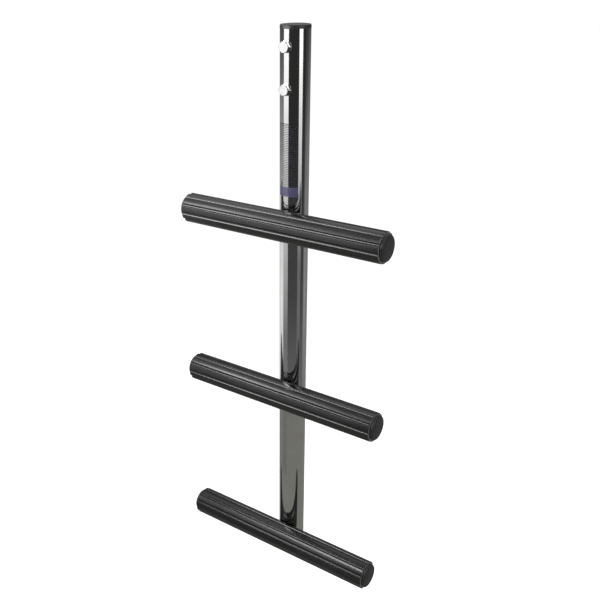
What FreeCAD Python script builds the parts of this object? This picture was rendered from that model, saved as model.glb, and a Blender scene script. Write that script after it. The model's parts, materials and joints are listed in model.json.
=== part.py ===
"""Single-pole boarding ladder with three ribbed rungs.

Frame: +Z up, rungs along X, the climber on the -Y side. The origin lies midway between the two bolts,
in the plane that touches the back of the pole, where a bracket is fastened.
"""
import FreeCAD, Part
import os
import Sketcher

Vector = FreeCAD.Vector
Rotation = FreeCAD.Rotation

doc = FreeCAD.newDocument("boarding_ladder")

# Driving dimensions, in millimetres and degrees
DIMENSIONS = {
    # Pole
    "pole_diameter": 38.1,
    "pole_wall": 1.6,
    "pole_foot": 20.0,
    # Rungs
    "rung_diameter": 31.75,
    "rung_wall": 1.5,
    "rung_length": 304.8,
    "rung_pitch": 250.0,
    "first_rung_drop": 240.0,
    "saddle_depth": 3.175,
    "weld_throat": 1.6,
    "weld_round": 0.7,
    # Ribbed sleeves
    "sleeve_wall": 4.325,
    "sleeve_fit": 0.1,
    "groove_count": 11,
    "groove_width": 4.8,
    "groove_depth": 1.4,
    "groove_lip": 0.6,
    "sleeve_end_chamfer": 0.5,
    "sleeve_slit": 1.0,
    "weld_clearance": 0.4,
    "sleeve_turn_top": 8.5,
    "sleeve_turn_middle": 19.5,
    "sleeve_turn_bottom": 12.5,
    # Plugs in the rung ends
    "plug_flange_diameter": 34.0,
    "plug_flange_thickness": 4.0,
    "plug_rim_round": 1.5,
    # Caps on the pole ends
    "cap_overhang": 0.15,
    "cap_flange_thickness": 4.5,
    "cap_rim_round": 1.5,
    # Barbed stems of plugs and caps
    "stem_length": 13.0,
    "stem_wall": 1.8,
    "barb_fit": 0.1,
    "barb_height": 0.8,
    "barb_pitch": 3.5,
    "barb_taper": 2.5,
    # Bolts and washers
    "bolt_diameter": 8.0,
    "bolt_length": 50.0,
    "bolt_tip_chamfer": 1.0,
    "bolt_inset": 20.0,
    "bolt_pitch": 50.0,
    "bolt_hole_fit": 0.25,
    "hexagon_flats": 13.0,
    "hexagon_chamfer_start": 6.1,
    "hexagon_chamfer_angle": 30.0,
    "head_height": 5.3,
    "washer_diameter": 15.0,
    "washer_thickness": 1.6,
    "washer_fit": 0.2,
}
BARBS = 3
RUNGS = ("top", "middle", "bottom")

sizes = doc.addObject("Spreadsheet::Sheet", "Sizes")
for row, (alias, value) in enumerate(DIMENSIONS.items(), start=1):
    sizes.set(f"A{row}", alias)
    sizes.set(f"B{row}", str(value))
    sizes.setAlias(f"B{row}", alias)
doc.recompute()

# Expressions that several pieces share
POLE_RADIUS = "Sizes.pole_diameter / 2"
RUNG_RADIUS = "Sizes.rung_diameter / 2"
SLEEVE_RADIUS = f"({RUNG_RADIUS} + Sizes.sleeve_fit + Sizes.sleeve_wall)"
POLE_Y = f"-{POLE_RADIUS}"
POLE_TOP = "(Sizes.bolt_pitch / 2 + Sizes.bolt_inset)"
POLE_LENGTH = f"(Sizes.first_rung_drop + {len(RUNGS) - 1} * Sizes.rung_pitch + Sizes.pole_foot)"
RUNG_SETBACK = f"({POLE_RADIUS} + {RUNG_RADIUS} - Sizes.saddle_depth)"
RUNG_Y = f"{POLE_Y} - {RUNG_SETBACK}"
BOLT_GRIP = "(Sizes.pole_diameter + Sizes.washer_thickness)"
GROOVE_RADIUS = "(Sizes.groove_width^2 / 4 + Sizes.groove_depth^2) / (2 * Sizes.groove_depth)"
HEXAGON_CORNER = "Sizes.hexagon_flats / sqrt(3)"

# Turns that point a piece's own +Z axis along the ladder's axes
TO_CLIMBER = Rotation(Vector(1, 0, 0), 90)
TO_RIGHT = Rotation(Vector(0, 1, 0), 90)
TO_LEFT = Rotation(Vector(0, 1, 0), -90)
UPWARDS = Rotation(Vector(1, 0, 0), 0)
DOWNWARDS = Rotation(Vector(1, 0, 0), 180)

pieces = []


def size_of(expression):
    """Number that an expression on the sheet gives now."""
    return float(sizes.evalExpression(expression))


def rung_height(level):
    """Height of a rung's axis, counted down from the pole's top end."""
    return f"{POLE_TOP} - Sizes.first_rung_drop - {level} * Sizes.rung_pitch"


def new_body(label):
    body = doc.addObject("PartDesign::Body", label)
    body.Label = label
    pieces.append(body)
    return body


def place(piece, x="0", y="0", z="0", turn=None):
    """Turn a piece and bind its position to the sheet."""
    if turn:
        piece.Placement = FreeCAD.Placement(Vector(), turn)
    for letter, expression in zip("xyz", (x, y, z)):
        piece.setExpression(f"Placement.Base.{letter}", expression)


def datum(body, role):
    """Origin plane or axis of a body."""
    return next(f for f in body.Origin.OriginFeatures if f.Role == role)


def new_sketch(body, name, role="XY_Plane", turn=None):
    """Sketch on one of the body's origin planes, turned in that plane where an angle is given."""
    sketch = body.newObject("Sketcher::SketchObject", name)
    sketch.AttachmentSupport = [(datum(body, role), "")]
    sketch.MapMode = "FlatFace"
    if turn:
        sketch.AttachmentOffset = FreeCAD.Placement(Vector(), Rotation(Vector(0, 0, 1), 90))
        sketch.setExpression("AttachmentOffset.Rotation.Angle", turn)
    return sketch


def fix_point(sketch, geometry, point, x, y):
    """Hold a point of a sketch at a place given by two expressions."""
    for kind, axis, expression in (("DistanceX", -2, x), ("DistanceY", -1, y)):
        number = size_of(expression)
        if abs(number) < 1e-9:
            sketch.addConstraint(Sketcher.Constraint("PointOnObject", geometry, point, axis))
            continue
        index = sketch.addConstraint(Sketcher.Constraint(kind, -1, 1, geometry, point, number))
        sketch.setExpression(f"Constraints[{index}]", expression)


def add_circle(sketch, diameter, x="0", y="0"):
    centre = Vector(size_of(x), size_of(y), 0)
    radius = size_of(diameter) / 2
    circle = sketch.addGeometry(Part.Circle(centre, Vector(0, 0, 1), radius))
    fix_point(sketch, circle, 3, x, y)
    index = sketch.addConstraint(Sketcher.Constraint("Diameter", circle, 2 * radius))
    sketch.setExpression(f"Constraints[{index}]", diameter)


def add_outline(sketch, corners):
    """Closed outline of straight lines through corners given as pairs of expressions."""
    points = [Vector(size_of(x), size_of(y), 0) for x, y in corners]
    lines = [sketch.addGeometry(Part.LineSegment(start, end))
             for start, end in zip(points, points[1:] + points[:1])]
    for line, following in zip(lines, lines[1:] + lines[:1]):
        sketch.addConstraint(Sketcher.Constraint("Coincident", line, 2, following, 1))
    for line, (x, y) in zip(lines, corners):
        fix_point(sketch, line, 1, x, y)


def pad(body, sketch, length, symmetric=False, reverse=False):
    feature = body.newObject("PartDesign::Pad", sketch.Name + "_pad")
    feature.Profile = sketch
    feature.SideType = "Symmetric" if symmetric else "One side"
    feature.Reversed = reverse
    feature.setExpression("Length", length)
    return feature


def pocket_through(body, sketch):
    """Cut a sketch through the whole piece, to both sides of its plane."""
    feature = body.newObject("PartDesign::Pocket", sketch.Name + "_pocket")
    feature.Profile = sketch
    feature.SideType = "Symmetric"
    feature.Type = "ThroughAll"
    return feature


def revolve(body, sketch, kind="PartDesign::Revolution"):
    """Turn a sketch on the XZ plane full circle about the body's Z axis."""
    feature = body.newObject(kind, sketch.Name + "_turned")
    feature.Profile = sketch
    feature.ReferenceAxis = (sketch, ["V_Axis"])
    feature.Angle = 360
    return feature


def dress_edges(body, kind, base, setting, expression, wanted):
    """Fillet or chamfer the edges of a feature that pass a test."""
    doc.recompute()
    names = [f"Edge{number}" for number, edge in enumerate(base.Shape.Edges, start=1) if wanted(edge)]
    feature = body.newObject(kind, base.Name + "_dressed")
    feature.Base = (base, names)
    feature.setExpression(setting, expression)
    return feature


def is_circle(edge, radius, height):
    """True for a full circle of this radius about the Z axis at this height."""
    round_edge = isinstance(edge.Curve, Part.Circle) and edge.Closed
    return (round_edge and abs(edge.Curve.Radius - radius) < 1e-4
            and abs(edge.Curve.Center.z - height) < 1e-4)


def make_pole():
    body = new_body("pole_tube")
    ring = new_sketch(body, "pole_section")
    add_circle(ring, "Sizes.pole_diameter")
    add_circle(ring, "Sizes.pole_diameter - 2 * Sizes.pole_wall")
    pad(body, ring, POLE_LENGTH, reverse=True)
    holes = new_sketch(body, "bolt_holes", "XZ_Plane")
    for depth in ("-Sizes.bolt_inset", "-Sizes.bolt_inset - Sizes.bolt_pitch"):
        add_circle(holes, "Sizes.bolt_diameter + 2 * Sizes.bolt_hole_fit", "0", depth)
    pocket_through(body, holes)
    place(body, "0", POLE_Y, POLE_TOP)


def make_rung_tube(name, level):
    """Tube with a saddle cut behind, where it seats on the front of the pole."""
    body = new_body(f"rung_tube_{name}")
    ring = new_sketch(body, f"rung_section_{name}", "YZ_Plane")
    add_circle(ring, "Sizes.rung_diameter")
    add_circle(ring, "Sizes.rung_diameter - 2 * Sizes.rung_wall")
    pad(body, ring, "Sizes.rung_length", symmetric=True)
    saddle = new_sketch(body, f"rung_saddle_{name}")
    add_circle(saddle, "Sizes.pole_diameter", "0", RUNG_SETBACK)
    pocket_through(body, saddle)
    place(body, "0", RUNG_Y, rung_height(level))


def make_sleeve(name, level):
    """Ribbed rubber sleeve, split along its back and cut away there round the pole and the weld."""
    body = new_body(f"sleeve_{name}")
    turn = f"-Sizes.sleeve_turn_{name}"
    ring = new_sketch(body, f"sleeve_section_{name}", "YZ_Plane", turn)
    add_circle(ring, f"2 * {SLEEVE_RADIUS}")
    add_circle(ring, "Sizes.rung_diameter + 2 * Sizes.sleeve_fit")
    pad(body, ring, "Sizes.rung_length", symmetric=True)

    groove = new_sketch(body, f"groove_{name}", "YZ_Plane", turn)
    add_circle(groove, f"2 * ({GROOVE_RADIUS})", f"{SLEEVE_RADIUS} - Sizes.groove_depth + {GROOVE_RADIUS}")
    first = pocket_through(body, groove)
    grooves = body.newObject("PartDesign::PolarPattern", f"grooves_{name}")
    grooves.Originals = [first]
    grooves.Axis = (datum(body, "X_Axis"), [""])
    grooves.Angle = 360
    grooves.setExpression("Occurrences", "Sizes.groove_count")
    body.Tip = grooves

    radius = size_of(SLEEVE_RADIUS)

    def is_groove_lip(edge):
        ends = [vertex.Point for vertex in edge.Vertexes]
        straight = len(ends) == 2 and abs(ends[0].y - ends[1].y) + abs(ends[0].z - ends[1].z) < 1e-6
        return straight and abs(Vector(0, ends[0].y, ends[0].z).Length - radius) < 1e-4

    lips = dress_edges(body, "PartDesign::Fillet", grooves, "Radius", "Sizes.groove_lip", is_groove_lip)

    half = size_of("Sizes.rung_length / 2")
    crest_floor = size_of(f"{RUNG_RADIUS} + Sizes.sleeve_fit") + 0.5

    def is_outer_end(edge):
        points = [edge.valueAt(edge.FirstParameter), edge.valueAt(edge.LastParameter)]
        return all(abs(abs(p.x) - half) < 1e-4 and Vector(0, p.y, p.z).Length > crest_floor for p in points)

    dress_edges(body, "PartDesign::Chamfer", lips, "Size", "Sizes.sleeve_end_chamfer", is_outer_end)

    cutaway = new_sketch(body, f"sleeve_cutaway_{name}")
    add_circle(cutaway, "Sizes.pole_diameter + 2 * (Sizes.weld_throat + Sizes.weld_clearance)", "0", RUNG_SETBACK)
    pocket_through(body, cutaway)
    slit = new_sketch(body, f"sleeve_slit_{name}", "YZ_Plane")
    far = f"2 * {SLEEVE_RADIUS}"
    add_outline(slit, [("0", "-Sizes.sleeve_slit / 2"), (far, "-Sizes.sleeve_slit / 2"),
                       (far, "Sizes.sleeve_slit / 2"), ("0", "Sizes.sleeve_slit / 2")])
    pocket_through(body, slit)
    place(body, "0", RUNG_Y, rung_height(level))


def cylinder(label, radius, length, x, y, z, turn=UPWARDS):
    rod = doc.addObject("Part::Cylinder", label)
    rod.setExpression("Radius", radius)
    rod.setExpression("Height", length)
    place(rod, x, y, z, turn)
    return rod


def combine(kind, label, base, tool):
    """Boolean of two solids: Part::Common or Part::Cut."""
    result = doc.addObject(kind, label)
    result.Base = base
    result.Tool = tool
    return result


def make_weld(name, level):
    """Weld bead round the saddle: what lies within the weld's throat of both tubes, outside both."""
    reach = "2 * Sizes.pole_diameter"
    outlines = []
    for layer, growth in (("core", "0"), ("skin", "Sizes.weld_throat")):
        outlines.append((
            cylinder(f"pole_{layer}_{name}", f"{POLE_RADIUS} + {growth}", reach,
                     "0", RUNG_SETBACK, f"-({reach}) / 2"),
            cylinder(f"rung_{layer}_{name}", f"{RUNG_RADIUS} + {growth}", reach,
                     f"-({reach}) / 2", "0", "0", TO_RIGHT)))
    (pole_core, rung_core), (pole_skin, rung_skin) = outlines
    overlap = combine("Part::Common", f"weld_overlap_{name}", pole_skin, rung_skin)
    front = combine("Part::Cut", f"weld_front_{name}", overlap, pole_core)
    ring = combine("Part::Cut", f"weld_ring_{name}", front, rung_core)
    doc.recompute()
    outer = max(range(len(ring.Shape.Edges)), key=lambda index: ring.Shape.Edges[index].Length)
    weld_round = size_of("Sizes.weld_round")
    bead = doc.addObject("Part::Fillet", f"weld_{name}")
    bead.Label = f"weld_{name}"
    bead.Base = ring
    bead.Edges = [(outer + 1, weld_round, weld_round)]
    pieces.append(bead)
    place(bead, "0", RUNG_Y, rung_height(level))


def make_plug(label, flange, thickness, rim, bore):
    """Flanged plug: its flange rises from the seat along +Z, its barbed stem goes down into the tube."""
    body = new_body(label)
    flange_edge = f"({flange}) / 2"
    barb_edge = f"({bore}) / 2 - Sizes.barb_fit"
    stem_edge = f"{barb_edge} - Sizes.barb_height"
    hollow_edge = f"{stem_edge} - Sizes.stem_wall"
    corners = [("0", thickness), (flange_edge, thickness), (flange_edge, "0"), (stem_edge, "0")]
    for barb in range(1, BARBS + 1):
        crest = f"-{barb} * Sizes.barb_pitch + Sizes.barb_taper / 2"
        corners += [(stem_edge, crest), (barb_edge, crest), (stem_edge, f"{crest} - Sizes.barb_taper")]
    corners += [(stem_edge, "-Sizes.stem_length"), (hollow_edge, "-Sizes.stem_length"),
                (hollow_edge, "0"), ("0", "0")]
    profile = new_sketch(body, label + "_profile", "XZ_Plane")
    add_outline(profile, corners)
    turned = revolve(body, profile)
    radius = size_of(flange_edge)
    height = size_of(thickness)
    dress_edges(body, "PartDesign::Fillet", turned, "Radius", rim,
                lambda edge: is_circle(edge, radius, height))
    return body


def make_rung_plugs(name, level):
    bore = "Sizes.rung_diameter - 2 * Sizes.rung_wall"
    for side, sign, turn in (("left", "-", TO_LEFT), ("right", "", TO_RIGHT)):
        plug = make_plug(f"plug_{name}_{side}", "Sizes.plug_flange_diameter", "Sizes.plug_flange_thickness",
                         "Sizes.plug_rim_round", bore)
        place(plug, f"{sign}Sizes.rung_length / 2", RUNG_Y, rung_height(level), turn)


def make_pole_caps():
    bore = "Sizes.pole_diameter - 2 * Sizes.pole_wall"
    flange = "Sizes.pole_diameter + 2 * Sizes.cap_overhang"
    ends = (("pole_top_cap", POLE_TOP, UPWARDS), ("pole_bottom_cap", f"{POLE_TOP} - {POLE_LENGTH}", DOWNWARDS))
    for label, height, turn in ends:
        cap = make_plug(label, flange, "Sizes.cap_flange_thickness", "Sizes.cap_rim_round", bore)
        place(cap, "0", POLE_Y, height, turn)


def add_hexagon(body, name):
    """Hexagon with two flats level, corners to the left and right."""
    sketch = new_sketch(body, name)
    flat = "Sizes.hexagon_flats / 2"
    add_outline(sketch, [(HEXAGON_CORNER, "0"), (f"{HEXAGON_CORNER} / 2", flat),
                         (f"-{HEXAGON_CORNER} / 2", flat), (f"-{HEXAGON_CORNER}", "0"),
                         (f"-{HEXAGON_CORNER} / 2", f"-{flat}"), (f"{HEXAGON_CORNER} / 2", f"-{flat}")])
    return sketch


def chamfer_hexagon(body, name, height):
    """Cone that takes the corners off the upper face of a hexagon of this height."""
    sketch = new_sketch(body, name, "XZ_Plane")
    start = "Sizes.hexagon_chamfer_start"
    outside = "Sizes.hexagon_flats"
    drop = f"{height} - ({outside} - {start}) * tan(Sizes.hexagon_chamfer_angle * 1 deg)"
    add_outline(sketch, [(start, height), (outside, height), (outside, drop)])
    return revolve(body, sketch, "PartDesign::Groove")


def make_bolt(name, height):
    """Hexagon bolt: the head rises from its seat towards the climber, the shank runs back to the bracket.

    The free end behind the pole is a face of its own, because a bracket slides on there.
    """
    body = new_body(f"bolt_{name}")
    free_end = new_sketch(body, f"free_end_{name}")
    free_end.setExpression("AttachmentOffset.Base.z", f"-{BOLT_GRIP}")
    add_circle(free_end, "Sizes.bolt_diameter")
    rod = pad(body, free_end, f"Sizes.bolt_length - {BOLT_GRIP}", reverse=True)
    radius = size_of("Sizes.bolt_diameter / 2")
    tip = size_of("-Sizes.bolt_length")
    dress_edges(body, "PartDesign::Chamfer", rod, "Size", "Sizes.bolt_tip_chamfer",
                lambda edge: is_circle(edge, radius, tip))
    shank = new_sketch(body, f"shank_{name}")
    add_circle(shank, "Sizes.bolt_diameter")
    pad(body, shank, BOLT_GRIP, reverse=True).Refine = False
    pad(body, add_hexagon(body, f"head_{name}"), "Sizes.head_height").Refine = False
    chamfer_hexagon(body, f"head_chamfer_{name}", "Sizes.head_height").Refine = False
    place(body, "0", f"-{BOLT_GRIP}", height, TO_CLIMBER)


def make_head_washer(name, height):
    """Flat washer between the pole's front and the bolt's head."""
    body = new_body(f"head_washer_{name}")
    ring = new_sketch(body, f"washer_ring_{name}")
    add_circle(ring, "Sizes.washer_diameter")
    add_circle(ring, "Sizes.bolt_diameter + 2 * Sizes.washer_fit")
    pad(body, ring, "Sizes.washer_thickness")
    place(body, "0", "-Sizes.pole_diameter", height, TO_CLIMBER)


make_pole()
make_pole_caps()
for level, name in enumerate(RUNGS):
    make_rung_tube(name, level)
    make_weld(name, level)
    make_sleeve(name, level)
    make_rung_plugs(name, level)
for name, height in (("upper", "Sizes.bolt_pitch / 2"), ("lower", "-Sizes.bolt_pitch / 2")):
    make_bolt(name, height)
    make_head_washer(name, height)
doc.recompute()

# Every object must be sound before a file is written
for item in doc.Objects:
    if "Invalid" in item.State or "Error" in item.State:
        raise RuntimeError(f"{item.Label} failed: {item.State}")
for piece in pieces:
    if piece.Shape.isNull() or not piece.Shape.isValid() or len(piece.Shape.Solids) != 1:
        raise RuntimeError(f"{piece.Label} is not one sound solid")

# A cut that misses its solid leaves the volume as it was and shows no error
for item in doc.Objects:
    if item.TypeId in ("PartDesign::Pocket", "PartDesign::Groove"):
        removed = item.BaseFeature.Shape.Volume - item.Shape.Volume
        if removed < 1:
            raise RuntimeError(f"{item.Label} removed only {removed:.2f} cubic millimetres")

os.makedirs("parts", exist_ok=True)
for piece in pieces:
    piece.Shape.exportStep(f"parts/{piece.Label}.step")
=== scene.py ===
import json
import math

import bmesh
import bpy
from mathutils import Matrix, Vector


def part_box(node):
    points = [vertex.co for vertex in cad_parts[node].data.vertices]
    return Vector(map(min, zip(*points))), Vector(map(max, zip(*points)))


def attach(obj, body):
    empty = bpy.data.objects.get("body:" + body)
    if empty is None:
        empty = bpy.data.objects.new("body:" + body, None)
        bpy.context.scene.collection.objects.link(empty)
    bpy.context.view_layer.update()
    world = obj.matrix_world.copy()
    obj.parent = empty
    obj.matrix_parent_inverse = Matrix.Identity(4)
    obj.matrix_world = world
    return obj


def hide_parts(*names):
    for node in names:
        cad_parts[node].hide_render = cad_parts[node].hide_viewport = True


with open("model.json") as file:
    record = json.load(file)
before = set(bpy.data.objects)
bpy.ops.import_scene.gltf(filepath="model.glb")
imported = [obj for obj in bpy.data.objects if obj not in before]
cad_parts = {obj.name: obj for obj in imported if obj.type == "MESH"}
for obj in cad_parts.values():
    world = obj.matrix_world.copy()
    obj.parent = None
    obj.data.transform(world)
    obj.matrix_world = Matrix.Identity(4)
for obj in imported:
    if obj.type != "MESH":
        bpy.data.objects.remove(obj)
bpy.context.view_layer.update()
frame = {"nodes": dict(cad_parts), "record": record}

MM = 0.001

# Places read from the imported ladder, in metres
POLE_LOW, POLE_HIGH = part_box("pole_tube")
POLE_Y = (POLE_LOW.y + POLE_HIGH.y) / 2
POLE_RADIUS = (POLE_HIGH.x - POLE_LOW.x) / 2
RUNG_NAMES = ("top", "middle", "bottom")
LEVELS = ("upper", "lower")


def centre_of(node):
    low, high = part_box(node)
    return (low + high) / 2


RUNG_Y = centre_of("plug_top_left").y
RUNG_HEIGHTS = {name: centre_of(f"plug_{name}_left").z for name in RUNG_NAMES}
RUNG_PITCH = RUNG_HEIGHTS["top"] - RUNG_HEIGHTS["middle"]
RUNG_RADIUS = (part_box("rung_tube_top")[1].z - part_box("rung_tube_top")[0].z) / 2
SLEEVE_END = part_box("sleeve_top")[1].x
BOLT_HEIGHTS = {level: centre_of(f"bolt_{level}").z for level in LEVELS}
BOLT_PITCH = BOLT_HEIGHTS["upper"] - BOLT_HEIGHTS["lower"]
HEAD_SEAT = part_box("head_washer_upper")[0].y

# Sizes of what is added here, in metres and degrees
THREAD_RADIUS = 4.0 * MM
THREAD_PITCH = 1.25 * MM
THREAD_DEPTH = 0.77 * MM
THREAD_CHAMFER = 1.0 * MM
THREAD_CREST = 0.12  # share of the pitch
THREAD_FLANKS = 0.68  # share of the pitch, both together
THREAD_COLUMNS = 40
THREAD_ROWS = 10  # to one turn
WELD_RADIUS = 0.86 * MM
WELD_RIPPLES = 96
WELD_LOWEST, WELD_HIGHEST = 0.5, 0.66  # a drop's height over its width
SADDLE_POINTS = 180  # on the curve that the drops follow
PLUG_CROWN = 1.4 * MM
FILM_LIFT = 0.1 * MM
FILM_TOP = RUNG_HEIGHTS["top"] + 129 * MM
FILM_LOW = RUNG_HEIGHTS["top"] + 36 * MM
FILM_BAND = 12.5 * MM
FILM_RULE = 2.2 * MM
FILM_EDGE = 0.8 * MM
FILM_INKED = 0.42  # share of a rule's pitch
FILM_SPREAD = 47
FILM_COLUMNS = 32
HAIR = 0.05 * MM  # for finding a face by its place
SAME_POINT = 0.001 * MM

# The photograph's camera, in this frame
CAMERA_PLACE = Vector((0.57235, -0.87722, 0.12903))
CAMERA_RIGHT = Vector((0.79731, 0.60330, -0.01794))
CAMERA_UP = Vector((-0.23710, 0.34041, 0.90989))
CAMERA_LENS = 48.538
CAMERA_SHIFT = (0.09458, 0.03380)


# Node trees

class Wire:
    """One output socket. Arithmetic on it adds Math nodes."""

    def __init__(self, tree, socket):
        self.tree = tree
        self.socket = socket

    def math(self, operation, *values):
        inputs = dict(enumerate(values))
        return self.tree.node("ShaderNodeMath", {"operation": operation}, inputs)

    def __add__(self, other):
        return self.math("ADD", self, other)

    def __sub__(self, other):
        return self.math("SUBTRACT", self, other)

    def __rsub__(self, other):
        return self.math("SUBTRACT", other, self)

    def __mul__(self, other):
        return self.math("MULTIPLY", self, other)

    def __truediv__(self, other):
        return self.math("DIVIDE", self, other)

    def __gt__(self, other):
        return self.math("GREATER_THAN", self, other)

    def __lt__(self, other):
        return self.math("LESS_THAN", self, other)

    def size(self):
        return self.math("ABSOLUTE", self)

    def angle_from(self, other):
        return self.math("ARCTAN2", self, other)

    def wrapped(self, low, high):
        return self.math("WRAP", self, high, low)

    def squared(self):
        return self * self

    def root(self):
        return self.math("SQRT", self)


class Tree:
    """A node tree with one method that makes its nodes."""

    def __init__(self, tree):
        self.tree = tree

    def node(self, kind, settings=None, inputs=None, output=0):
        """Add a node: its settings first, then the values or links of its sockets."""
        node = self.tree.nodes.new(kind)
        for name, value in (settings or {}).items():
            if name == "stops":
                ramp = node.color_ramp.elements
                for index, (position, color) in enumerate(value):
                    stop = ramp[index] if index < 2 else ramp.new(position)
                    stop.position = position
                    stop.color = color
            else:
                setattr(node, name, value)
        for name, value in (inputs or {}).items():
            if isinstance(value, Wire):
                self.tree.links.new(value.socket, node.inputs[name])
            else:
                node.inputs[name].default_value = value
        return Wire(self, node.outputs[output]) if node.outputs else None


class Finish(Tree):
    """One material and the patterns that its surface needs."""

    def __init__(self, name):
        self.material = bpy.data.materials.new(name)
        self.material.use_nodes = True
        self.material.node_tree.nodes.clear()
        super().__init__(self.material.node_tree)
        self.place = self.node("ShaderNodeTexCoord", output="Object")

    def axes(self):
        """The X, Y and Z of a surface point, in metres."""
        point = {"Vector": self.place}
        return [self.node("ShaderNodeSeparateXYZ", {}, point, axis) for axis in "XYZ"]

    def stretched(self, x, y, z):
        """The point with scaled axes: a pattern runs along the axis with the smallest scale."""
        return self.node("ShaderNodeMapping", inputs={"Vector": self.place, "Scale": (x, y, z)})

    def noise(self, vector=None, scale=1.0, detail=3.0, rough=0.55):
        return self.node("ShaderNodeTexNoise", {}, {"Vector": vector or self.place, "Scale": scale,
                                                    "Detail": detail, "Roughness": rough}, "Fac")

    def blend(self, amount, first, second):
        """Colour between two colours."""
        return self.node("ShaderNodeMix", {"data_type": "RGBA"}, {0: amount, 6: first, 7: second}, 2)

    def ranged(self, value, low, high, start=0.3, end=0.7):
        """A value taken from start..end to low..high, held at the ends."""
        return self.node("ShaderNodeMapRange", {}, {"Value": value, "From Min": start, "From Max": end,
                                                    "To Min": low, "To Max": high})

    def bump(self, height, depth, below=None):
        """Bumps of a depth in metres, over the bumps below."""
        inputs = {"Height": height, "Distance": depth, "Strength": 1.0}
        if below:
            inputs["Normal"] = below
        return self.node("ShaderNodeBump", {}, inputs)

    def surface(self, **sockets):
        """Principled surface, from socket names with underscores for spaces."""
        inputs = {name.replace("_", " "): value for name, value in sockets.items()}
        return self.result(self.node("ShaderNodeBsdfPrincipled", {}, inputs))

    def result(self, shader):
        self.node("ShaderNodeOutputMaterial", {}, {"Surface": shader})
        return self.material


def grey(level, warmth=0.0):
    return (level * (1 + warmth), level, level * (1 - warmth), 1.0)


class Recipe(Tree):
    """A Geometry Nodes tree whose sizes are named inputs."""

    def __init__(self, name, sizes):
        tree = bpy.data.node_groups.new(name, "GeometryNodeTree")
        tree.is_modifier = True
        super().__init__(tree)
        self.sizes = sizes
        tree.interface.new_socket(name="Geometry", in_out="OUTPUT", socket_type="NodeSocketGeometry")
        for label, value in sizes.items():
            kind = "NodeSocketInt" if isinstance(value, int) else "NodeSocketFloat"
            tree.interface.new_socket(name=label, in_out="INPUT", socket_type=kind)
        self.given = tree.nodes.new("NodeGroupInput")

    def size(self, label):
        return Wire(self, self.given.outputs[label])

    def mesh(self, name, shape, material):
        """Run the tree on an empty host and take its result as a plain mesh."""
        solid = self.node("GeometryNodeRealizeInstances", {}, {"Geometry": shape})
        skinned = self.node("GeometryNodeSetMaterial", {}, {"Geometry": solid, "Material": material})
        self.node("NodeGroupOutput", {}, {"Geometry": skinned})
        host = bpy.data.objects.new(name, bpy.data.meshes.new(name + "_host"))
        bpy.context.scene.collection.objects.link(host)
        modifier = host.modifiers.new("recipe", "NODES")
        modifier.node_group = self.tree
        for item in self.tree.interface.items_tree:
            if item.in_out == "INPUT":
                modifier[item.identifier] = self.sizes[item.name]
        graph = bpy.context.evaluated_depsgraph_get()
        result = bpy.data.meshes.new_from_object(host.evaluated_get(graph))
        bpy.data.objects.remove(host)
        return result


# Finishes

def polished_steel():
    """Mirror polished tube: faint draw lines along it, soft haze and fingerprints in its gloss."""
    finish = Finish("polished_steel")
    lines = finish.noise(finish.stretched(2600, 2600, 14), detail=2)
    haze = finish.noise(scale=38, detail=4)
    smears = finish.noise(finish.stretched(90, 90, 24), detail=5, rough=0.7)
    gloss = finish.ranged(lines, 0.0, 0.035) + finish.ranged(smears, 0.0, 0.05, 0.5, 0.75) + 0.055
    tone = finish.blend(finish.ranged(haze, 0, 1), grey(0.60, 0.012), grey(0.66, 0.004))
    waves = finish.noise(finish.stretched(60, 60, 9), detail=1)
    normal = finish.bump(lines, 0.4e-6, finish.bump(waves, 9e-6))
    return finish.surface(Base_Color=tone, Metallic=1.0, Roughness=gloss, Normal=normal)


def satin_steel():
    """Satin tube under the sleeves: rings left by the sanding belt."""
    finish = Finish("satin_steel")
    rings = finish.noise(finish.stretched(3000, 60, 60), detail=2)
    haze = finish.noise(scale=45, detail=4)
    tone = finish.blend(finish.ranged(haze, 0, 1), grey(0.52, 0.01), grey(0.60, 0.01))
    gloss = finish.ranged(rings, 0.22, 0.36)
    return finish.surface(Base_Color=tone, Metallic=1.0, Roughness=gloss, Normal=finish.bump(rings, 2e-6))


def weld_steel():
    """Weld metal: bright ridges, with a straw and blue tint from the heat."""
    finish = Finish("weld_steel")
    heat = finish.noise(scale=220, detail=3)
    tone = finish.blend(finish.ranged(heat, 0, 1, 0.4, 0.62), (0.58, 0.50, 0.40, 1), (0.36, 0.37, 0.42, 1))
    crust = finish.noise(scale=900, detail=2)
    return finish.surface(Base_Color=tone, Metallic=1.0, Roughness=finish.ranged(heat, 0.22, 0.42),
                          Normal=finish.bump(crust, 12e-6))


def fastener_steel():
    """Bolts and duller washers: fine turned rings round each bolt's axis, small pits and rubbed spots."""
    finish = Finish("fastener_steel")
    x, y, z = finish.axes()
    height = (z + BOLT_PITCH).wrapped(0.0, BOLT_PITCH) - BOLT_PITCH / 2
    reach = (x.squared() + height.squared()).root()
    rings = finish.node("ShaderNodeCombineXYZ", {}, {"X": reach * 2600, "Y": y * 2600})
    turned = finish.noise(rings, detail=2)
    pits = finish.noise(scale=1500, detail=2)
    haze = finish.noise(scale=160, detail=3)
    dull = (y > HEAD_SEAT + HAIR) * (y < POLE_Y)
    bright = finish.blend(finish.ranged(haze, 0, 1), grey(0.56, 0.006), grey(0.66, 0.003))
    tone = finish.blend(dull, bright, grey(0.30, 0.01))
    gloss = finish.ranged(pits, 0.09, 0.16) + finish.ranged(haze, 0.0, 0.03) + dull * 0.42
    normal = finish.bump(turned, 2.5e-6, finish.bump(pits, 3e-6))
    return finish.surface(Base_Color=tone, Metallic=1.0, Roughness=gloss, Normal=normal)


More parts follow.
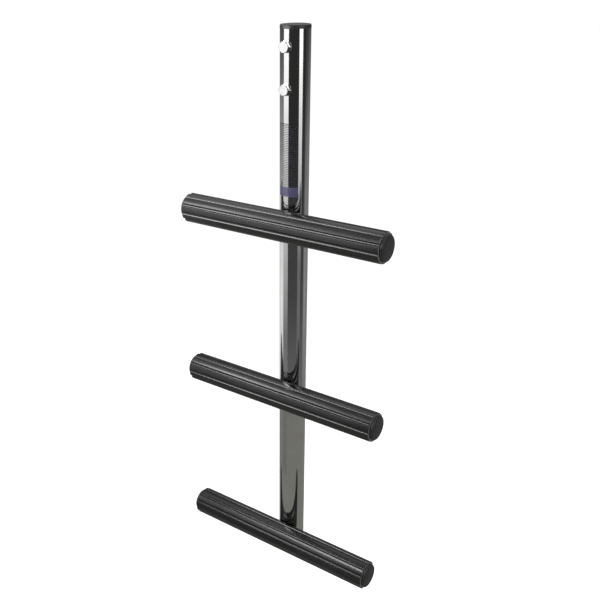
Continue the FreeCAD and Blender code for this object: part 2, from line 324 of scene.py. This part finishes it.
def sleeve_rubber():
    """Extruded black rubber: fine lines, patchy bloom, light scuffs, and paler where its ends are cut."""
    finish = Finish("sleeve_rubber")
    cut = finish.axes()[0].size() > SLEEVE_END - HAIR
    lines = finish.noise(finish.stretched(16, 2200, 2200), detail=3)
    grain = finish.noise(scale=2400, detail=2)
    bloom = finish.noise(finish.stretched(22, 60, 60), detail=5, rough=0.65)
    scuffs = finish.ranged(finish.noise(finish.stretched(90, 500, 500), detail=4, rough=0.7), 0, 1, 0.56, 0.7)
    skin = finish.blend(finish.ranged(bloom, 0, 1, 0.35, 0.7), grey(0.006), grey(0.012, -0.02))
    rubbed = finish.blend(scuffs * 0.6, skin, grey(0.035, 0.02))
    tone = finish.blend(cut, rubbed, grey(0.16))
    gloss = finish.ranged(bloom, 0.16, 0.25) + finish.ranged(grain, -0.02, 0.03) + scuffs * 0.08 + cut * 0.4
    normal = finish.bump(lines, 3e-6, finish.bump(grain, 2.5e-6))
    return finish.surface(Base_Color=tone, Roughness=gloss, Normal=normal, Specular_IOR_Level=0.55)


def black_plastic():
    """Moulded black plastic, finely grained and rubbed in places. The plugs' faces are a little crowned."""
    finish = Finish("black_plastic")
    x, y, z = finish.axes()
    height = (z - RUNG_HEIGHTS["top"] + RUNG_PITCH / 2).wrapped(0.0, RUNG_PITCH) - RUNG_PITCH / 2
    fall = ((y - RUNG_Y).squared() + height.squared()) / RUNG_RADIUS ** 2
    crown = (fall * 0.4 + fall.squared() * 0.6) * (x.size() > SLEEVE_END) * -1
    grain = finish.noise(scale=3200, detail=3)
    rub = finish.noise(scale=90, detail=4)
    tone = finish.blend(finish.ranged(rub, 0, 1), grey(0.016), grey(0.026))
    gloss = finish.ranged(rub, 0.38, 0.52) + finish.ranged(grain, -0.04, 0.04)
    normal = finish.bump(grain, 11e-6, finish.bump(crown, PLUG_CROWN))
    return finish.surface(Base_Color=tone, Roughness=gloss, Normal=normal)


def label_film():
    """Clear film: a dark upper edge, plain unbroken rules, and a violet band along its foot."""
    finish = Finish("label_film")
    height = finish.axes()[2]
    edge = height > FILM_TOP - FILM_EDGE
    band = height < FILM_LOW + FILM_BAND
    rule = ((height - FILM_LOW) / FILM_RULE).wrapped(0.0, 1.0) < FILM_INKED
    worn = finish.ranged(finish.noise(finish.stretched(40, 40, 130), detail=2), 0.5, 1.0)
    inked = rule * worn
    marked = inked.math("MAXIMUM", inked, edge) > 0.08
    tone = finish.blend(marked, (0.09, 0.09, 0.15, 1), grey(0.012))
    violet = finish.blend(worn * rule, (0.105, 0.10, 0.21, 1), (0.19, 0.19, 0.32, 1))
    cover = inked.math("MAXIMUM", inked * 0.35 + 0.12, edge * 0.85)
    return finish.surface(Base_Color=finish.blend(band, tone, violet), Roughness=0.3,
                          Alpha=cover.math("MAXIMUM", cover, band * 0.72), Specular_IOR_Level=0.4)


def dress_cad_nodes(finishes):
    """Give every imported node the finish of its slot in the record."""
    for part in frame["record"]["subparts"]:
        mesh = frame["nodes"][part["node"]].data
        mesh.materials.clear()
        mesh.materials.append(finishes[part["material_slot"]])


# Pieces

def add_piece(name, mesh, replaced=None):
    """Link a finished mesh and let it ride on the ladder's one body."""
    piece = bpy.data.objects.new(name, mesh)
    bpy.context.scene.collection.objects.link(piece)
    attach(piece, "root")
    if replaced:
        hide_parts(replaced)


def thread_radius(depth, angle, length):
    """Radius of the thread at a depth behind the pole: a V groove on a helix, chamfered at the tip."""
    turn = (depth / THREAD_PITCH + angle / math.tau) % 1.0
    groove = min(max((abs(turn - 0.5) * 2 - THREAD_CREST) / THREAD_FLANKS, 0.0), 1.0)
    limit = THREAD_RADIUS - max(0.0, depth - (length - THREAD_CHAMFER))
    return min(THREAD_RADIUS - THREAD_DEPTH * groove, limit)


def threaded_end(height, length):
    """Closed mesh of the bolt's free end, from the pole's back to the bolt's tip."""
    columns = THREAD_COLUMNS
    rows = round(length / THREAD_PITCH * THREAD_ROWS)
    end = bmesh.new()
    rings = []
    for row in range(rows + 1):
        depth = length * row / rows
        ring = []
        for column in range(columns):
            angle = math.tau * column / columns
            radius = thread_radius(depth, angle, length)
            ring.append(end.verts.new((radius * math.cos(angle), depth, height + radius * math.sin(angle))))
        rings.append(ring)
    for ring, following in zip(rings, rings[1:]):
        for column in range(columns):
            beside = (column + 1) % columns
            face = end.faces.new((ring[column], following[column], following[beside], ring[beside]))
            face.smooth = True
    end.faces.new(rings[0])
    end.faces.new(reversed(rings[-1]))
    return end


def make_bolt(level, steel):
    """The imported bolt's head and shank with a cut thread on the free end."""
    node = f"bolt_{level}"
    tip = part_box(node)[1].y
    bolt = threaded_end(BOLT_HEIGHTS[level], tip)
    bmesh.ops.recalc_face_normals(bolt, faces=bolt.faces)
    head = bmesh.new()
    head.from_mesh(frame["nodes"][node].data)
    bmesh.ops.remove_doubles(head, verts=head.verts, dist=SAME_POINT)
    every = head.verts[:] + head.edges[:] + head.faces[:]
    bmesh.ops.bisect_plane(head, geom=every, plane_co=(0, 0, 0), plane_no=(0, 1, 0), clear_outer=True)
    bmesh.ops.holes_fill(head, edges=[edge for edge in head.edges if edge.is_boundary])
    bmesh.ops.recalc_face_normals(head, faces=head.faces)
    shank = bpy.data.meshes.new(node + "_shank")
    head.to_mesh(shank)
    bolt.from_mesh(shank)
    mesh = bpy.data.meshes.new(node + "_threaded")
    bolt.to_mesh(mesh)
    mesh.materials.append(steel)
    add_piece(node + "_threaded", mesh, node)


def make_weld_ripples(weld):
    """Overlapping drops of weld metal along the saddle where each rung meets the pole."""
    recipe = Recipe("weld_ripples", {
        "Pole Radius": POLE_RADIUS, "Rung Radius": RUNG_RADIUS, "Setback": POLE_Y - RUNG_Y,
        "Drop Radius": WELD_RADIUS, "Drops": WELD_RIPPLES, "Rungs": len(RUNG_NAMES)})
    drop = recipe.size("Drop Radius")
    pole = recipe.size("Pole Radius") + drop
    rung = recipe.size("Rung Radius") + drop
    setback = recipe.size("Setback")
    circle = recipe.node("GeometryNodeCurvePrimitiveCircle", {}, {"Resolution": SADDLE_POINTS, "Radius": 1.0})
    point = recipe.node("GeometryNodeInputPosition")
    across, along = [recipe.node("ShaderNodeSeparateXYZ", {}, {"Vector": point}, axis) for axis in "XY"]
    nearest = setback - pole
    crown = (rung.squared() - nearest.squared()).root()
    rise = along * crown
    reach = (rung.squared() - rise.squared()).root()
    depth = setback - reach
    width = (pole.squared() - depth.squared()).root() * across.math("SIGN", across)
    saddle = recipe.node("ShaderNodeCombineXYZ", {}, {"X": width, "Y": depth * -1 + POLE_Y, "Z": rise})
    path = recipe.node("GeometryNodeSetPosition", {}, {"Geometry": circle, "Position": saddle})
    places = recipe.node("GeometryNodeCurveToPoints", {"mode": "COUNT"},
                         {"Curve": path, "Count": recipe.size("Drops")})
    turns = Wire(recipe, places.socket.node.outputs["Rotation"])
    bead = recipe.node("GeometryNodeMeshUVSphere", {}, {"Segments": 10, "Rings": 6, "Radius": drop})
    flat = recipe.node("FunctionNodeRandomValue", {"data_type": "FLOAT"},
                       {2: WELD_LOWEST, 3: WELD_HIGHEST, "Seed": 4}, 1)
    scale = recipe.node("ShaderNodeCombineXYZ", {}, {"X": 1.0, "Y": 1.0, "Z": flat})
    ring = recipe.node("GeometryNodeInstanceOnPoints", {},
                       {"Points": places, "Instance": bead, "Rotation": turns, "Scale": scale})
    ladder = recipe.node("GeometryNodeMeshLine", {"mode": "OFFSET"},
                         {"Count": recipe.size("Rungs"), "Start Location": (0, 0, RUNG_HEIGHTS["top"]),
                          "Offset": (0, 0, -RUNG_PITCH)})
    welds = recipe.node("GeometryNodeInstanceOnPoints", {}, {"Points": ladder, "Instance": ring})
    mesh = recipe.mesh("weld_ripples", welds, weld)
    mesh.shade_smooth()
    add_piece("weld_ripples", mesh)


def curved_sheet(start, end, steps, radius, low, high):
    """Vertices and faces of an upright sheet round the pole. Bearings count in degrees from -Y towards +X."""
    rim = []
    for step in range(steps + 1):
        bearing = math.radians(start + (end - start) * step / steps)
        rim.append((radius * math.sin(bearing), POLE_Y - radius * math.cos(bearing)))
    vertices = [(x, y, z) for x, y in rim for z in (low, high)]
    faces = [(2 * i, 2 * i + 2, 2 * i + 3, 2 * i + 1) for i in range(steps)]
    return vertices, faces


def make_label_film(film):
    """Thin film wrapped round the front of the pole, between the bolts and the top rung."""
    radius = POLE_RADIUS + FILM_LIFT
    vertices, faces = curved_sheet(-FILM_SPREAD, FILM_SPREAD, FILM_COLUMNS, radius, FILM_LOW, FILM_TOP)
    mesh = bpy.data.meshes.new("label_film")
    mesh.from_pydata(vertices, [], faces)
    mesh.shade_smooth()
    mesh.materials.append(film)
    add_piece("label_film", mesh)


# Studio

FLOOR_HEIGHT = -1.05
FLOOR_HALF = 30.0
FLOOR_LIFT = 0.69  # shine that makes the floor white to the camera
STUDIO_TOP = 1.3
STUDIO_RADIUS = 0.95
NEAR_RADIUS = 0.66
CARD_STEP = 4  # degrees
ZONE_BLEND = 16  # degrees
SKY_LIGHT = 0.36  # the white world's strength as light


def stage_mesh(name, vertices, faces, material):
    mesh = bpy.data.meshes.new(name)
    mesh.from_pydata(vertices, [], faces)
    mesh.materials.append(material)
    piece = bpy.data.objects.new(name, mesh)
    bpy.context.scene.collection.objects.link(piece)
    return piece


def stage_square(name, half, height, material):
    corners = [(-half, -half, height), (half, -half, height), (half, half, height), (-half, half, height)]
    return stage_mesh(name, corners, [(0, 1, 2, 3)], material)


def plain_glow(name, color):
    finish = Finish(name)
    return finish.result(finish.node("ShaderNodeEmission", {}, {"Color": (*color, 1)}))


def glow(name, zones, low, high):
    """Shine that changes with height, in zones round the pole that melt into each other.

    A zone is the bearing where it begins and its stops, which are pairs of a height and a level there.
    """
    finish = Finish(name)
    x, y, z = finish.axes()
    bearing = (x.angle_from(POLE_Y - y) * math.degrees(1)).wrapped(0.0, 360.0)
    share = finish.ranged(z, 0, 1, low, high)
    brightest = max(level for _, stops in zones for _, level in stops)
    color = None
    for start, stops in zones:
        places = [((height - low) / (high - low), grey(level / brightest)) for height, level in stops]
        ramp = finish.node("ShaderNodeValToRGB", {"stops": places}, {"Fac": share})
        entered = finish.ranged(bearing, 0, 1, start - ZONE_BLEND / 2, start + ZONE_BLEND / 2)
        color = finish.blend(entered, color, ramp) if color else ramp
    return finish.result(finish.node("ShaderNodeEmission", {}, {"Color": color, "Strength": brightest}))


def only_in_reflections(piece):
    piece.visible_camera = False
    piece.visible_diffuse = False
    piece.visible_shadow = False
    piece.visible_transmission = False


def card(name, zones, end, radius=STUDIO_RADIUS):
    """Curved card round the pole, from the bearing of its first zone to the one where it ends."""
    start = zones[0][0]
    steps = int((end - start) / CARD_STEP)
    vertices, faces = curved_sheet(start, end, steps, radius, FLOOR_HEIGHT, STUDIO_TOP)
    material = glow(name, zones, FLOOR_HEIGHT, STUDIO_TOP)
    only_in_reflections(stage_mesh(name, vertices, faces, material))


def set_floor():
    """Pale floor that stays white to the camera and keeps the ladder's soft shadow."""
    finish = Finish("pale_floor")
    fibres = finish.noise(scale=6, detail=3)
    tone = finish.blend(finish.ranged(fibres, 0, 1), grey(0.90), grey(0.92))
    paper = finish.node("ShaderNodeBsdfDiffuse", {}, {"Color": tone})
    seen = finish.node("ShaderNodeLightPath", output="Is Camera Ray")
    lift = finish.node("ShaderNodeEmission", {}, {"Strength": seen * FLOOR_LIFT})
    both = finish.node("ShaderNodeAddShader", {}, {0: paper, 1: lift})
    stage_square("floor", FLOOR_HALF, FLOOR_HEIGHT, finish.result(both))


def set_world():
    """White to the camera and in reflections, softer as light."""
    world = bpy.data.worlds.new("studio")
    bpy.context.scene.world = world
    world.use_nodes = True
    world.node_tree.nodes.clear()
    tree = Tree(world.node_tree)
    seen = [tree.node("ShaderNodeLightPath", output=ray)
            for ray in ("Is Camera Ray", "Is Glossy Ray", "Is Transmission Ray")]
    direct = seen[0].math("MAXIMUM", seen[0], seen[1].math("MAXIMUM", seen[1], seen[2]))
    strength = direct * (1 - SKY_LIGHT) + SKY_LIGHT
    sky = tree.node("ShaderNodeBackground", {}, {"Color": (1, 1, 1, 1), "Strength": strength})
    tree.node("ShaderNodeOutputWorld", {}, {"Surface": sky})


def soft_light(name, place, aim, size, power):
    """Area light that neither the camera nor a reflection sees."""
    data = bpy.data.lights.new(name, "AREA")
    data.shape = "RECTANGLE"
    data.size, data.size_y = size
    data.energy = power
    lamp = bpy.data.objects.new(name, data)
    bpy.context.scene.collection.objects.link(lamp)
    lamp.location = place
    lamp.rotation_euler = (Vector(aim) - Vector(place)).to_track_quat("-Z", "Y").to_euler()
    lamp.visible_camera = False
    lamp.visible_glossy = False


def set_lights():
    """Two soft lights, and the cards that show in reflections. A stop is a height and the level there."""
    middle = (0, POLE_Y, -0.33)
    soft_light("key", (-1.15, -1.4, 0.85), middle, (1.1, 1.9), power=34)
    soft_light("fill", (1.7, -0.6, 0.5), middle, (0.6, 1.6), power=8)
    bright = [(-1.05, 0.2), (-0.66, 0.25), (-0.48, 0.6), (-0.3, 0.95), (-0.19, 1.25), (-0.1, 1.5),
              (0.015, 1.6), (0.05, 14.0), (0.15, 14.0), (0.27, 6.5), (0.4, 2.0), (0.6, 0.8), (1.3, 0.4)]
    strip = [(-1.05, 0.2), (-0.6, 0.2), (-0.45, 0.5), (-0.25, 1.0), (0.0, 2.0), (0.6, 4.0), (1.3, 1.0)]
    dim = [(-1.05, 0.22), (-0.9, 0.15), (-0.8, 0.12), (-0.7, 0.08), (-0.55, 0.07), (-0.4, 0.05),
           (-0.2, 0.033), (1.3, 0.033)]
    behind_right = [(-1.05, 0.25), (-0.95, 0.25), (-0.85, 0.3), (-0.7, 0.35), (-0.5, 0.3), (-0.3, 0.2),
                    (-0.15, 0.1), (0.0, 0.05), (0.15, 0.05), (0.35, 0.4), (0.6, 0.8), (1.3, 0.8)]
    behind = [(-1.05, 0.3), (-0.7, 0.25), (-0.3, 0.25), (-0.15, 0.2), (0.0, 0.1), (0.15, 0.1),
              (0.35, 0.6), (0.5, 1.0), (1.3, 1.0)]
    behind_left = [(-1.05, 0.3), (-0.95, 0.7), (-0.7, 1.1), (-0.5, 0.9), (-0.3, 0.45), (-0.15, 0.2),
                   (0.0, 0.06), (0.15, 0.06), (0.35, 0.6), (0.5, 1.0), (1.3, 1.0)]
    card("left_softbox", [(-58, bright)], -15, NEAR_RADIUS)
    card("right_softbox", [(64, strip)], 91)
    card("dark_front", [(-15, dim)], 64)
    card("back_sweep", [(91, dim), (122, behind_right), (154, behind), (245, behind_left)], 302)
    for name, height, color in (("grey_table", FLOOR_HEIGHT + 0.01, (0.25, 0.25, 0.23)),
                                ("dark_ceiling", STUDIO_TOP, (0.5, 0.5, 0.5))):
        only_in_reflections(stage_square(name, STUDIO_RADIUS, height, plain_glow(name, color)))


def set_camera():
    data = bpy.data.cameras.new("camera")
    data.lens = CAMERA_LENS
    data.shift_x, data.shift_y = CAMERA_SHIFT
    camera = bpy.data.objects.new("camera", data)
    bpy.context.scene.collection.objects.link(camera)
    back = CAMERA_RIGHT.cross(CAMERA_UP)
    turn = Matrix((CAMERA_RIGHT, CAMERA_UP, back)).transposed()
    camera.matrix_world = Matrix.Translation(CAMERA_PLACE) @ turn.to_4x4()
    bpy.context.scene.camera = camera


bpy.context.scene.view_settings.view_transform = "Standard"
finishes = {make.__name__: make() for make in (
    polished_steel, satin_steel, weld_steel, fastener_steel, sleeve_rubber, black_plastic)}
dress_cad_nodes(finishes)
for level in LEVELS:
    make_bolt(level, finishes["fastener_steel"])
make_weld_ripples(finishes["weld_steel"])
make_label_film(label_film())
set_floor()
set_world()
set_lights()
set_camera()
